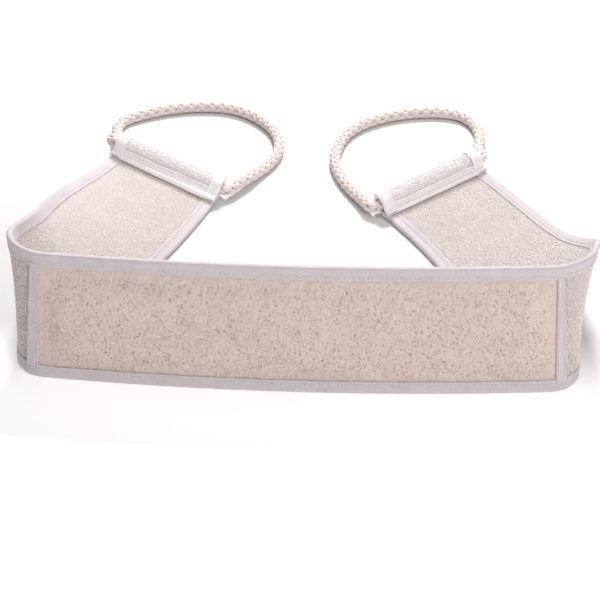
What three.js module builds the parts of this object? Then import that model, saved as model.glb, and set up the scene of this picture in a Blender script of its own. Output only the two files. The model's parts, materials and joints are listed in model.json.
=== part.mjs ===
// A loofah back scrubber: a long cloth strap with a loofah panel along its
// front. Its two tails turn back at the corners, twist over and lie down, and
// the hem of each tail holds a loop of rope to pull on.
//
// Millimetres, +Z up, the loofah faces -Y, and the strap stands on Z = 0.
//
// Every cloth piece is modelled flat and then laid on the strap. Flat
// coordinates are s, along the strap from the middle of the front (negative to
// the left), v, up across it, and n, out from its middle layer on the loofah's
// side.

import * as THREE from 'three';

// ---------------------------------------------------------------- dimensions

const DEG = Math.PI / 180;
const GAP = 0.3; // between pieces that touch

const STRAP = { width: 90, half: 461 }; // half: middle of the front to a hem's fold
const FRONT = { half: 168, radius: 1620, lean: -8.5 * DEG };
const CORNER_RADIUS = 24;
const SPLIT_GAP = 1.2; // in the middle of a corner, where the tail folds

const TERRY = { thick: 2.4 };
const TAPE = { thick: 0.6, face: 9, soft: 1, stitch: 2.7 }; // stitch: in from the tape's edge
const THREAD = { width: 0.7, thick: 0.5 };
const ROPE = { radius: 4.5, sides: 10, step: 4 };
const WHIPPING = { length: 18, inner: 4.7, outer: 5, segments: 24 };

const EDGE = STRAP.width / 2;
const TERRY_EDGE = EDGE - TAPE.thick - GAP;
const TAPE_MIDDLE = EDGE - TAPE.face / 2;

// Half the thickness of the strap where its binding wraps it.
const LAYER = TERRY.thick / 2 + GAP + TAPE.thick;

const CROSS_TAPE = { from: 171, to: 177.5, stitch: 1.6 };
const LOOFAH = { half: 175, thick: 5, edge: 1, shoulder: 12, thinFrom: CROSS_TAPE.from - 1, stepDown: 6 };

// The hem turns round the rope, slopes down to the strap and lies on it.
const HEM = {
  flat: 28, // the last stretch of strap, which doesn't twist
  turn: 255 * DEG,
  radius: WHIPPING.outer + GAP + LAYER,
  easeRadius: 3,
  depth: 2 * LAYER + GAP,
  tail: 0.6,
  tapeFace: 8,
  stitches: { lower: 2.2, upper: 6.2 }, // back from the strip's end
};
HEM.start = STRAP.half - HEM.radius - LAYER;

// How each tail lies. Angles are headings in plan, and leans from upright.
// After its corner a tail bends on by `bend`. Its lean grows along it, and a
// high `soon` lays it down early. `askew` is how much further from the fold
// the hem's flap is sewn down at the lower edge than at the upper one. `rope`
// is the loop's route beyond the hem, from the end that leaves at the strap's
// lower edge to the upper one.
const SIDES = {
  left: {
    turn: 127.5 * DEG,
    bend: { angle: -23 * DEG, from: 214, length: 69 },
    lean: { corner: 14.5 * DEG, hem: 73 * DEG, soon: 1.3 },
    askew: 4.5,
    rope: [
      [-68, 257, 8], [-65, 259, 7.4], [-61, 265.5, 8], [-54.5, 275.5, 7.4], [-46.5, 291, 5.7],
      [-38.5, 307, 4.7], [-33, 324, 4.7], [-32, 343, 4.7], [-37.5, 366, 4.7],
      [-48.5, 384.5, 4.7], [-63.5, 399, 4.7], [-80, 407, 4.7], [-101, 408.5, 4.7],
      [-124.5, 403.5, 4.7], [-146, 393, 4.7], [-162, 380, 4.7], [-167, 366.5, 4.7],
      [-165.5, 352, 5.4], [-162.5, 335.5, 9.8], [-160, 317, 18], [-159, 302, 27],
      [-159, 291, 32.6], [-159.5, 284.5, 35.8], [-158, 280.5, 36],
    ],
  },
  right: {
    turn: 111 * DEG,
    bend: { angle: 10 * DEG, from: 320, length: 120 },
    lean: { corner: 13 * DEG, hem: 78.5 * DEG, soon: 3 },
    askew: 0,
    rope: [
      [47, 235.5, 8], [43.5, 237.5, 7.3], [40.5, 244.5, 7], [36, 254, 5.7], [30.5, 265, 4.7],
      [23, 281.5, 4.7], [17.5, 298.5, 4.7], [14.5, 316.5, 4.7], [15, 334.5, 4.7],
      [20, 358, 4.7], [30, 376.5, 4.7], [45, 391, 4.7], [63.5, 401.5, 4.7],
      [83.5, 407, 4.7], [101.5, 407.5, 4.7], [116, 402.5, 4.7], [125.5, 391, 4.7],
      [130.5, 374, 4.7], [131, 356, 4.7], [129, 339, 5.2], [128.5, 327, 9.7],
      [128.5, 311.5, 18.2], [129, 300.5, 23.2], [129.5, 293, 25.2], [130, 287.5, 27.1], [129, 284, 27.5],
    ],
  },
};

const FINISHES = {
  loofah: { color: 0xc9b29c, roughness: 0.95 },
  terry: { color: 0xeee3dc, roughness: 0.95 },
  tape: { color: 0xe9e5ea, roughness: 0.85 },
  thread: { color: 0xf1eef0, roughness: 0.7 },
  rope: { color: 0xe3d2c4, roughness: 0.9 },
};

// How many sections the cloth has in each stretch of one side.
const SECTION_COUNTS = {
  front: 5, thinning: 3, corner: 14, tail: 24, flat: 3, round: 12, straight: 2, ease: 5,
};
const STEPS_ACROSS = 8;

// ---------------------------------------------------------------- the strap's route

const smooth = (t) => {
  const x = THREE.MathUtils.clamp(t, 0, 1);
  return x * x * (3 - 2 * x);
};

// One side's route: where the strap's middle line stands, and how it leans.
function makeRoute({ turn, bend, lean }) {
  const frontTurn = FRONT.half / FRONT.radius;
  const cornerLength = CORNER_RADIUS * (turn - frontTurn);
  const cornerEnd = FRONT.half + cornerLength;
  const heading = (s) => {
    const front = Math.min(s, FRONT.half) / FRONT.radius;
    const corner = THREE.MathUtils.clamp(s - FRONT.half, 0, cornerLength) / CORNER_RADIUS;
    return front + corner + bend.angle * smooth((s - bend.from) / bend.length);
  };
  const leanAt = (s) => {
    const inCorner = THREE.MathUtils.clamp((s - FRONT.half) / cornerLength, 0, 1);
    const inTail = THREE.MathUtils.clamp((s - cornerEnd) / (STRAP.half - HEM.flat - cornerEnd), 0, 1);
    const corner = (lean.corner - FRONT.lean) * inCorner ** 2;
    return FRONT.lean + corner + (lean.hem - lean.corner) * (1 - (1 - inTail) ** lean.soon);
  };
  const plan = [new THREE.Vector2()]; // one point for each millimetre
  for (let s = 0; s < STRAP.half; s += 1) {
    const h = heading(s + 0.5);
    plan.push(plan[s].clone().add(new THREE.Vector2(Math.cos(h), Math.sin(h))));
  }
  const planAt = (s) => {
    const i = Math.min(Math.floor(s), plan.length - 2);
    return plan[i].clone().lerp(plan[i + 1], s - i);
  };
  return { heading, leanAt, planAt, cornerEnd, split: FRONT.half + cornerLength / 2 };
}

const ROUTES = { left: makeRoute(SIDES.left), right: makeRoute(SIDES.right) };
const sideOf = (s) => (s < 0 ? 'left' : 'right');

// A point of the strap's middle layer. The left side is the mirror image of a
// route that runs to the right.
function middlePoint(s, v) {
  const route = ROUTES[sideOf(s)];
  const u = Math.abs(s);
  const lean = route.leanAt(u);
  const out = new THREE.Vector2(Math.sin(route.heading(u)), -Math.cos(route.heading(u)));
  const plan = route.planAt(u).addScaledVector(out, v * Math.sin(lean));
  const lift = LAYER * Math.abs(Math.sin(lean));
  const height = (v + STRAP.width / 2) * Math.cos(lean) + lift;
  return new THREE.Vector3(Math.sign(s || 1) * plan.x, plan.y, height);
}

function acrossAt(s) {
  return middlePoint(s, 1).sub(middlePoint(s, -1)).normalize();
}

function strapPoint(s, v, n) {
  const step = 0.5;
  const along = middlePoint(s + step, v).sub(middlePoint(s - step, v));
  const normal = along.cross(acrossAt(s)).normalize();
  return middlePoint(s, v).addScaledVector(normal, n);
}

// ---------------------------------------------------------------- the hem's fold

// Lengths along the strip past HEM.start: round the rope, down, and flat.
const FOLD = (() => {
  const round = HEM.radius * HEM.turn;
  const slope = HEM.turn - Math.PI;
  const eased = HEM.easeRadius * (1 - Math.cos(slope));
  const drop = HEM.radius * (1 + Math.cos(slope)) - eased - HEM.depth;
  const straight = drop / Math.sin(slope);
  const ease = HEM.easeRadius * slope;
  return { round, straight, ease, slope, length: round + straight + ease + HEM.tail };
})();
const STRIP_END = HEM.start + FOLD.length;

// Where the strip's point p, m from its middle layer, comes to once folded.
function foldPoint(p, m) {
  const past = p - HEM.start;
  if (past <= 0) return { s: p, n: m };
  const angle = Math.min(past / HEM.radius, HEM.turn);
  const reach = HEM.radius + m;
  let s = HEM.start + reach * Math.sin(angle);
  let n = -HEM.radius + reach * Math.cos(angle);
  const down = THREE.MathUtils.clamp(past - FOLD.round, 0, FOLD.straight);
  s += down * Math.cos(HEM.turn);
  n -= down * Math.sin(HEM.turn);
  const eased = THREE.MathUtils.clamp(past - FOLD.round - FOLD.straight, 0, FOLD.ease) / HEM.easeRadius;
  const bend = HEM.easeRadius - m;
  s += bend * (Math.sin(HEM.turn) - Math.sin(HEM.turn - eased));
  n += bend * (Math.cos(HEM.turn) - Math.cos(HEM.turn - eased));
  s -= Math.max(past - FOLD.length + HEM.tail, 0);
  return { s, n };
}

// A point of the strip, which is the strap with its hems unfolded.
function stripPoint(p, v, m) {
  const { s, n } = foldPoint(Math.abs(p), m);
  const flap = (Math.abs(p) - HEM.start - FOLD.round) / (FOLD.length - FOLD.round);
  const askew = (SIDES[sideOf(p)].askew * smooth(flap) * (v / EDGE - 1)) / 2;
  return strapPoint(Math.sign(p || 1) * (s + askew), v, n);
}

// ---------------------------------------------------------------- laying pieces

// Positions along one side where the strip bends enough to need a section.
function sectionsOf(route) {
  const list = [];
  const spread = (from, to, count) => {
    for (let i = 0; i < count; i += 1) list.push(from + ((to - from) * i) / count);
  };
  const count = SECTION_COUNTS;
  const thinning = LOOFAH.thinFrom - LOOFAH.shoulder;
  const flat = STRAP.half - HEM.flat;
  const slope = HEM.start + FOLD.round;
  const ease = slope + FOLD.straight;
  spread(0, thinning, count.front);
  spread(thinning, FRONT.half, count.thinning);
  spread(FRONT.half, route.cornerEnd, count.corner);
  spread(route.cornerEnd, flat, count.tail);
  spread(flat, HEM.start, count.flat);
  spread(HEM.start, slope, count.round);
  spread(slope, ease, count.straight);
  spread(ease, ease + FOLD.ease, count.ease);
  return list;
}

const SECTIONS = [
  ...sectionsOf(ROUTES.left).slice(1).map((p) => -p).reverse(),
  ...sectionsOf(ROUTES.right),
];

function sectionsBetween(from, to) {
  const least = 0.4;
  return [from, ...SECTIONS.filter((p) => p > from + least && p < to - least), to];
}

// Moves each corner of an extrusion to where `place` puts it.
function laid(geometry, place) {
  const position = geometry.getAttribute('position');
  const corner = new THREE.Vector3();
  for (let i = 0; i < position.count; i += 1) {
    corner.fromBufferAttribute(position, i);
    position.setXYZ(i, ...place(corner.x, corner.y, corner.z).toArray());
  }
  geometry.deleteAttribute('uv');
  geometry.computeVertexNormals();
  return geometry;
}

// A section in v and m, run along the strip. `shape` may change it on the way.
function runAlong(section, from, to, shape = (m) => m) {
  const stops = sectionsBetween(from, to);
  const count = stops.length - 1;
  const outline = new THREE.Shape(section.map(([v, m]) => new THREE.Vector2(v, m)));
  const options = { depth: count, steps: count, bevelEnabled: false };
  const geometry = new THREE.ExtrudeGeometry(outline, options);
  return laid(geometry, (v, m, i) => {
    const p = stops[Math.round(i)];
    return stripPoint(p, v, shape(m, p, v));
  });
}

// A section in p and m, run up across the strip.
function runAcross(section, from, to) {
  const outline = new THREE.Shape(section.map(([p, m]) => new THREE.Vector2(m, p)));
  const options = { depth: to - from, steps: STEPS_ACROSS, bevelEnabled: false };
  const geometry = new THREE.ExtrudeGeometry(outline, options);
  return laid(geometry, (m, p, rise) => stripPoint(p, from + rise, m));
}

// A rectangle in v and m. The long sides have a corner at each of `lines`, so
// that they can twist.
function sheetSection(lines, bottom, top) {
  return [...lines.map((v) => [v, bottom]), ...[...lines].reverse().map((v) => [v, top])];
}

// Lines across the strap from one edge to the other, closest under the tapes.
function linesAcross(edge) {
  const inside = EDGE - TAPE.face;
  const upper = [inside / 3, (2 * inside) / 3, inside, TAPE_MIDDLE, edge].filter((v) => v <= edge);
  return [...upper.map((v) => -v).reverse(), 0, ...upper];
}

function mesh(name, geometry, finish) {
  const piece = new THREE.Mesh(geometry, new THREE.MeshStandardMaterial({ ...finish, metalness: 0 }));
  piece.name = name;
  return piece;
}

// ---------------------------------------------------------------- cloth pieces

const SPANS = {
  centre: [-(ROUTES.left.split - SPLIT_GAP / 2), ROUTES.right.split - SPLIT_GAP / 2],
  left: [-STRIP_END, -(ROUTES.left.split + SPLIT_GAP / 2)],
  right: [ROUTES.right.split + SPLIT_GAP / 2, STRIP_END],
};
const LOOFAH_BACK = TERRY.thick / 2 + GAP;
const LOOFAH_MARGIN = LOOFAH_BACK + LOOFAH.edge;

function terryBacking(span) {
  const half = TERRY.thick / 2;
  const section = sheetSection(linesAcross(TERRY_EDGE), -half, half);
  return mesh(`terry_backing_${span}`, runAlong(section, ...SPANS[span]), FINISHES.terry);
}

// Thick in the middle and pressed thin under the tapes on all four sides.
function loofahPanel() {
  const half = TERRY_EDGE;
  const flat = half - TAPE.face - LOOFAH.shoulder;
  const rise = (t) => LOOFAH_MARGIN + (LOOFAH.thick - LOOFAH.edge) * smooth(t);
  const right = [0, 0.25, 0.5, 0.75, 1].map((t) => [half - TAPE.face - LOOFAH.shoulder * t, rise(t)]);
  const top = [[half, LOOFAH_MARGIN], ...right, [flat / 2, rise(1)], [0, rise(1)]];
  const left = top.slice(0, -1).map(([v, m]) => [-v, m]).reverse();
  const section = [[-half, LOOFAH_BACK], [half, LOOFAH_BACK], ...top, ...left];
  const thin = (m, p) => {
    if (m <= LOOFAH_MARGIN) return m;
    const room = smooth((LOOFAH.thinFrom - Math.abs(p)) / LOOFAH.shoulder);
    return LOOFAH_MARGIN + (m - LOOFAH_MARGIN) * room;
  };
  return mesh('loofah_panel', runAlong(section, -LOOFAH.half, LOOFAH.half, thin), FINISHES.loofah);
}

// Where the loofah is under it, the tape's outer side stands further out. It
// steps down again once the loofah has ended.
function overLoofah(m, p) {
  if (m <= 0) return m;
  const past = smooth((Math.abs(p) - LOOFAH.half - 1) / LOOFAH.stepDown);
  return m + (LOOFAH_MARGIN + GAP - LOOFAH_BACK) * (1 - past);
}

// A tape folded over the strap's upper (up = 1) or lower (up = -1) edge.
function binding(name, span, up) {
  const inside = EDGE - TAPE.face;
  const inner = LAYER - TAPE.thick;
  const corner = [[TAPE.soft, 0], [TAPE.soft / 3, TAPE.soft / 3], [0, TAPE.soft]];
  const section = [
    [inside, LAYER], [TAPE_MIDDLE, LAYER], ...corner.map(([v, m]) => [EDGE - v, LAYER - m]),
    ...corner.map(([v, m]) => [EDGE - v, m - LAYER]).reverse(), [TAPE_MIDDLE, -LAYER], [inside, -LAYER],
    [inside, -inner], [TAPE_MIDDLE, -inner], [EDGE - TAPE.thick, -inner],
    [EDGE - TAPE.thick, inner], [TAPE_MIDDLE, inner], [inside, inner],
  ].map(([v, m]) => [up * v, m]);
  const shape = span === 'centre' ? overLoofah : undefined;
  return mesh(`${name}_binding_${span}`, runAlong(section, ...SPANS[span], shape), FINISHES.tape);
}

// The thread that holds a binding. It shows on the loofah's side of the front
// and on the other side of the tails, and stops short of the hems.
function bindingStitching(name, span, up) {
  const line = up * (EDGE - TAPE.face + TAPE.stitch);
  const half = THREAD.width / 2;
  const face = LAYER + GAP;
  const outward = span === 'centre' ? 1 : -1;
  const levels = [outward * face, outward * (face + THREAD.thick)].sort((a, b) => a - b);
  const section = sheetSection([line - half, line + half], ...levels);
  const hem = FOLD.length + HEM.flat;
  const ends = { centre: [1, -1], left: [hem, -1], right: [1, -hem] };
  const [from, to] = SPANS[span].map((p, i) => p + ends[span][i]);
  const shape = span === 'centre' ? overLoofah : undefined;
  return mesh(`${name}_stitching_${span}`, runAlong(section, from, to, shape), FINISHES.thread);
}

const INSIDE_BINDING = EDGE - TAPE.face - GAP;

// The tape over one raw end of the loofah, and its two lines of stitching.
function crossTape(side) {
  const at = side === 'left' ? -1 : 1;
  const low = LOOFAH_MARGIN + GAP;
  const span = [at * CROSS_TAPE.from, at * CROSS_TAPE.to].sort((a, b) => a - b);
  const section = sheetSection(linesAcross(INSIDE_BINDING), low, low + TAPE.thick);
  return mesh(`${side}_cross_tape`, runAlong(section, ...span), FINISHES.tape);
}

function crossStitching(side, place, distance) {
  const at = side === 'left' ? -1 : 1;
  const half = THREAD.width / 2;
  const low = LOOFAH_MARGIN + TAPE.thick + 2 * GAP;
  const section = sheetSection(linesAcross(INSIDE_BINDING - GAP), low, low + THREAD.thick);
  const span = [at * distance - half, at * distance + half];
  return mesh(`${side}_cross_stitching_${place}`, runAlong(section, ...span), FINISHES.thread);
}

// ---------------------------------------------------------------- hems

// The tape folded over the raw end of a tail, inside its hem.
function hemTape(side) {
  const at = side === 'left' ? -1 : 1;
  const inner = LAYER - TAPE.thick;
  const end = STRIP_END + TAPE.thick + GAP;
  const stops = sectionsBetween(STRIP_END - HEM.tapeFace, STRIP_END + GAP);
  const leg = (m) => stops.map((p) => [at * p, m]);
  const section = [
    ...leg(LAYER).slice(0, -1), [at * end, LAYER], [at * end, -LAYER],
    ...leg(-LAYER).slice(0, -1).reverse(), ...leg(-inner), ...leg(inner).reverse(),
  ];
  return mesh(`${side}_hem_tape`, runAcross(section, -INSIDE_BINDING, INSIDE_BINDING), FINISHES.tape);
}

// The lower or upper line of stitching across a hem.
function hemStitching(side, place) {
  const at = side === 'left' ? -1 : 1;
  const half = THREAD.width / 2;
  const low = LAYER + GAP;
  const middle = STRIP_END - HEM.stitches[place];
  const section = [
    [at * (middle - half), low], [at * (middle + half), low],
    [at * (middle + half), low + THREAD.thick], [at * (middle - half), low + THREAD.thick],
  ];
  const reach = INSIDE_BINDING - GAP;
  return mesh(`${side}_hem_stitching_${place}`, runAcross(section, -reach, reach), FINISHES.thread);
}

// ---------------------------------------------------------------- rope handles

// The middle line of the hem's channel, from the lower edge to the upper.
function channelPoint(side, v) {
  const at = side === 'left' ? -1 : 1;
  return strapPoint(at * HEM.start, v, -HEM.radius);
}

// The rope's two ends meet in the middle of the channel, inside a whipping.
function ropeHandle(side) {
  const loop = SIDES[side].rope.map((point) => new THREE.Vector3(...point));
  const channel = [GAP, EDGE / 3, (2 * EDGE) / 3, EDGE - ROPE.radius, EDGE - GAP];
  const lower = channel.map((v) => channelPoint(side, -v));
  const upper = channel.map((v) => channelPoint(side, v)).reverse();
  const route = new THREE.CatmullRomCurve3([...lower, ...loop, ...upper], false, 'centripetal');
  const section = new THREE.Shape();
  for (let i = 0; i < ROPE.sides; i += 1) {
    const angle = (2 * Math.PI * i) / ROPE.sides;
    const corner = [ROPE.radius * Math.cos(angle), ROPE.radius * Math.sin(angle)];
    if (i === 0) section.moveTo(...corner);
    else section.lineTo(...corner);
  }
  const steps = Math.round(route.getLength() / ROPE.step);
  const geometry = new THREE.ExtrudeGeometry(section, { steps, extrudePath: route, bevelEnabled: false });
  return mesh(`${side}_rope_handle`, geometry, FINISHES.rope);
}

function ropeWhipping(side) {
  const ring = new THREE.Shape().absarc(0, 0, WHIPPING.outer, 0, 2 * Math.PI);
  ring.holes.push(new THREE.Path().absarc(0, 0, WHIPPING.inner, 0, 2 * Math.PI));
  const { length, segments } = WHIPPING;
  const options = { depth: length, steps: 1, bevelEnabled: false, curveSegments: segments };
  const geometry = new THREE.ExtrudeGeometry(ring, options);
  geometry.translate(0, 0, -length / 2);
  const whipping = mesh(`${side}_rope_whipping`, geometry, FINISHES.thread);
  const along = channelPoint(side, 1).sub(channelPoint(side, -1)).normalize();
  whipping.quaternion.setFromUnitVectors(new THREE.Vector3(0, 0, 1), along);
  whipping.position.copy(channelPoint(side, 0));
  return whipping;
}

// ---------------------------------------------------------------- assembly

function edgePieces(span) {
  return [['top', 1], ['bottom', -1]].flatMap(([name, up]) => [
    binding(name, span, up),
    bindingStitching(name, span, up),
  ]);
}

function frontPanel() {
  const panel = new THREE.Group();
  panel.add(terryBacking('centre'), loofahPanel(), ...edgePieces('centre'));
  for (const side of ['left', 'right']) {
    panel.add(crossTape(side));
    panel.add(crossStitching(side, 'inner', CROSS_TAPE.from + CROSS_TAPE.stitch));
    panel.add(crossStitching(side, 'outer', CROSS_TAPE.to - CROSS_TAPE.stitch));
  }
  return panel;
}

function tail(side) {
  const group = new THREE.Group();
  group.add(terryBacking(side), ...edgePieces(side));
  group.add(hemTape(side), hemStitching(side, 'lower'), hemStitching(side, 'upper'));
  return group;
}

function handle(side) {
  const group = new THREE.Group();
  group.add(ropeHandle(side), ropeWhipping(side));
  return group;
}

const scrubber = new THREE.Group();
scrubber.add(frontPanel());
for (const side of ['left', 'right']) scrubber.add(tail(side), handle(side));

// The origin is the middle of the whole object's box, on the ground.
const box = new THREE.Box3().setFromObject(scrubber, true);
const centre = box.getCenter(new THREE.Vector3());
scrubber.position.set(-centre.x, -centre.y, -box.min.z);

// The joints' lines: each tail folds about an upright line on the outside of
// its corner, past the lower edge, which leans out. Each handle swings about
// its hem's channel.
function hinges(side) {
  const at = side === 'left' ? -1 : 1;
  const { split, leanAt } = ROUTES[side];
  const outside = LAYER + GAP + THREAD.thick + EDGE * Math.abs(Math.sin(leanAt(split)));
  const fold = strapPoint(at * split, 0, outside).add(scrubber.position);
  const swing = channelPoint(side, 0).add(scrubber.position);
  const swingAxis = channelPoint(side, 1).sub(channelPoint(side, -1)).normalize().multiplyScalar(at);
  return { fold, foldAxis: new THREE.Vector3(0, 0, -at), swing, swingAxis };
}
scrubber.userData.hinges = { left: hinges('left'), right: hinges('right') };

export default scrubber;
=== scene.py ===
"""A loofah back scrubber: a cloth strap with a loofah panel along its front and a rope loop in each hem.

Every cloth piece is modelled flat and then laid along the route that the CAD strap follows. Flat coordinates
are p, along the strip from the middle of the front, v, up across it, and m, out from its middle layer on the
loofah's side. Lengths are in millimetres in the strap's own frame, and turn into metres in the row's frame
last.
"""

import json
import math
from functools import partial

import bpy
import numpy as np
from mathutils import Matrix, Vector


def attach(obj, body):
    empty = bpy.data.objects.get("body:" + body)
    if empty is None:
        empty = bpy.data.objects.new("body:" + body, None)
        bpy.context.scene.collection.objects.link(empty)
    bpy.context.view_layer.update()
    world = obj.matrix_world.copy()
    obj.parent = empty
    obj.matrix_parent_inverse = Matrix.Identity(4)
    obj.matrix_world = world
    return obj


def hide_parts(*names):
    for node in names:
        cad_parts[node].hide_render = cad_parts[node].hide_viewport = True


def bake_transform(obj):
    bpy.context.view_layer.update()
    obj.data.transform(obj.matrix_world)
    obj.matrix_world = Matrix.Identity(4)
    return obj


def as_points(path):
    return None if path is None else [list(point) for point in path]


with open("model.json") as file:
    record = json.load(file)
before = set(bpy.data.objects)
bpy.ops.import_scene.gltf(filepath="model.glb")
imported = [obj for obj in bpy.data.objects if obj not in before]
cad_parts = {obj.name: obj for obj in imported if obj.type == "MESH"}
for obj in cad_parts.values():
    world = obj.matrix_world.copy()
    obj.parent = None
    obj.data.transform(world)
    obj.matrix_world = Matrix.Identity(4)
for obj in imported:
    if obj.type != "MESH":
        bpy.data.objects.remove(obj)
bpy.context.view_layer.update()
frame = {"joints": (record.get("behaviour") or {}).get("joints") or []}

# ---------------------------------------------------------------- dimensions, in millimetres and radians

MM = 0.001
SIDES = ("left", "right")
SIGN = {"left": -1, "right": 1}

GAP = 0.3
STRAP_HALF = 461
EDGE = 45
FRONT_HALF, FRONT_RADIUS, FRONT_LEAN = 168, 1620, math.radians(-8.5)
CORNER_RADIUS = 24

TERRY_THICK = 2.4
TAPE_THICK, TAPE_FACE, TAPE_STITCH = 0.6, 9, 2.7
INSIDE = EDGE - TAPE_FACE
TERRY_EDGE = EDGE - TAPE_THICK - GAP
LAYER = TERRY_THICK / 2 + GAP + TAPE_THICK

CROSS_FROM, CROSS_TO, CROSS_STITCH = 171, 177.5, 1.6
LOOFAH_HALF, LOOFAH_THICK, LOOFAH_EDGE = 175, 5, 1
LOOFAH_SHOULDER, LOOFAH_STEP_DOWN = 20, 6
LOOFAH_THIN_FROM = CROSS_FROM - 1
LOOFAH_BACK = TERRY_THICK / 2 + GAP
LOOFAH_MARGIN = LOOFAH_BACK + LOOFAH_EDGE

ROPE_RADIUS = 4.5
WHIPPING_RADIUS = 5
HEM_FLAT, HEM_TURN, HEM_EASE_RADIUS, HEM_TAIL = 28, math.radians(255), 3, 0.6
HEM_RADIUS = WHIPPING_RADIUS + GAP + LAYER
HEM_DEPTH = 2 * LAYER + GAP
HEM_START = STRAP_HALF - HEM_RADIUS - LAYER
HEM_TAPE_FACE = 8
HEM_STITCHES = {"lower": 2.2, "upper": 6.2}
HEM_ASKEW = {"left": 4.5, "right": 0}  # how much further from the fold a flap is sewn down at the lower edge

# The rope's route past the hem, from the end that leaves at the strap's lower edge to the upper one.
ROPE_LOOPS = {
    "left": [
        [-68, 257, 8], [-65, 259, 7.4], [-61, 265.5, 8], [-54.5, 275.5, 7.4], [-46.5, 291, 5.7],
        [-38.5, 307, 4.7], [-33, 324, 4.7], [-32, 343, 4.7], [-37.5, 366, 4.7],
        [-48.5, 384.5, 4.7], [-63.5, 399, 4.7], [-80, 407, 4.7], [-101, 408.5, 4.7],
        [-124.5, 403.5, 4.7], [-146, 393, 4.7], [-162, 380, 4.7], [-167, 366.5, 4.7],
        [-165.5, 352, 5.4], [-162.5, 335.5, 9.8], [-160, 317, 18], [-159, 302, 27],
        [-159, 291, 32.6], [-159.5, 284.5, 35.8], [-158, 280.5, 36],
    ],
    "right": [
        [47, 235.5, 8], [43.5, 237.5, 7.3], [40.5, 244.5, 7], [36, 254, 5.7], [30.5, 265, 4.7],
        [23, 281.5, 4.7], [17.5, 298.5, 4.7], [14.5, 316.5, 4.7], [15, 334.5, 4.7],
        [20, 358, 4.7], [30, 376.5, 4.7], [45, 391, 4.7], [63.5, 401.5, 4.7],
        [83.5, 407, 4.7], [101.5, 407.5, 4.7], [116, 402.5, 4.7], [125.5, 391, 4.7],
        [130.5, 374, 4.7], [131, 356, 4.7], [129, 339, 5.2], [128.5, 327, 9.7],
        [128.5, 311.5, 18.2], [129, 300.5, 23.2], [129.5, 293, 25.2], [130, 287.5, 27.1], [129, 284, 27.5],
    ],
}

# ---------------------------------------------------------------- the strap's route


def smooth(t):
    x = np.clip(t, 0, 1)
    return x * x * (3 - 2 * x)


class Route:
    """One side's route, as it runs to the right: headings and leans at distances u from the middle."""

    def __init__(self, turn, bend, corner_lean, hem_lean, soon):
        self.turn, self.bend, self.soon = math.radians(turn), bend, soon
        self.corner_lean, self.hem_lean = math.radians(corner_lean), math.radians(hem_lean)
        self.corner_length = CORNER_RADIUS * (self.turn - FRONT_HALF / FRONT_RADIUS)
        self.corner_end = FRONT_HALF + self.corner_length
        headings = self.heading(np.arange(STRAP_HALF) + 0.5)
        steps = np.stack([np.cos(headings), np.sin(headings)], -1)
        self.plan = np.vstack([np.zeros(2), np.cumsum(steps, axis=0)])

    def heading(self, u):
        front = np.minimum(u, FRONT_HALF) / FRONT_RADIUS
        corner = np.clip(u - FRONT_HALF, 0, self.corner_length) / CORNER_RADIUS
        angle, start, length = self.bend
        return front + corner + math.radians(angle) * smooth((u - start) / length)

    def lean(self, u):
        flat = STRAP_HALF - HEM_FLAT
        in_corner = np.clip((u - FRONT_HALF) / self.corner_length, 0, 1)
        in_tail = np.clip((u - self.corner_end) / (flat - self.corner_end), 0, 1)
        corner = (self.corner_lean - FRONT_LEAN) * in_corner**2
        return FRONT_LEAN + corner + (self.hem_lean - self.corner_lean) * (1 - (1 - in_tail) ** self.soon)

    def plan_at(self, u):
        far = np.abs(u)
        i = np.minimum(far.astype(int), STRAP_HALF - 1)
        t = (far - i)[..., None]
        place = self.plan[i] * (1 - t) + self.plan[i + 1] * t
        return np.sign(u) * place[..., 0], place[..., 1]

    def middle(self, u, v):
        """Points of the strap's middle layer."""
        lean, heading = self.lean(u), self.heading(u)
        x, y = self.plan_at(u)
        reach = v * np.sin(lean)
        height = (v + EDGE) * np.cos(lean) + LAYER * np.abs(np.sin(lean))
        return np.stack([x + np.sin(heading) * reach, y - np.cos(heading) * reach, height], -1)

    def strap(self, u, v, n):
        """Points n out from the middle layer."""
        u, v, n = np.broadcast_arrays(*(np.asarray(a, float) for a in (u, v, n)))
        along = self.middle(u + 0.5, v) - self.middle(u - 0.5, v)
        across = self.middle(u, v + 1) - self.middle(u, v - 1)
        normal = np.cross(along, across)
        normal /= np.linalg.norm(normal, axis=-1, keepdims=True)
        return self.middle(u, v) + normal * n[..., None]


ROUTES = {
    "left": Route(turn=127.5, bend=(-23, 214, 69), corner_lean=14.5, hem_lean=73, soon=1.3),
    "right": Route(turn=111, bend=(10, 320, 120), corner_lean=13, hem_lean=78.5, soon=3),
}

# Lengths along the strip past HEM_START: round the rope, down to the strap, and flat on it.
FOLD_SLOPE = HEM_TURN - math.pi
FOLD_ROUND = HEM_RADIUS * HEM_TURN
FOLD_DROP = HEM_RADIUS * (1 + math.cos(FOLD_SLOPE)) - HEM_EASE_RADIUS * (1 - math.cos(FOLD_SLOPE)) - HEM_DEPTH
FOLD_STRAIGHT = FOLD_DROP / math.sin(FOLD_SLOPE)
FOLD_EASE = HEM_EASE_RADIUS * FOLD_SLOPE
STRIP_END = HEM_START + FOLD_ROUND + FOLD_STRAIGHT + FOLD_EASE + HEM_TAIL


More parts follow.
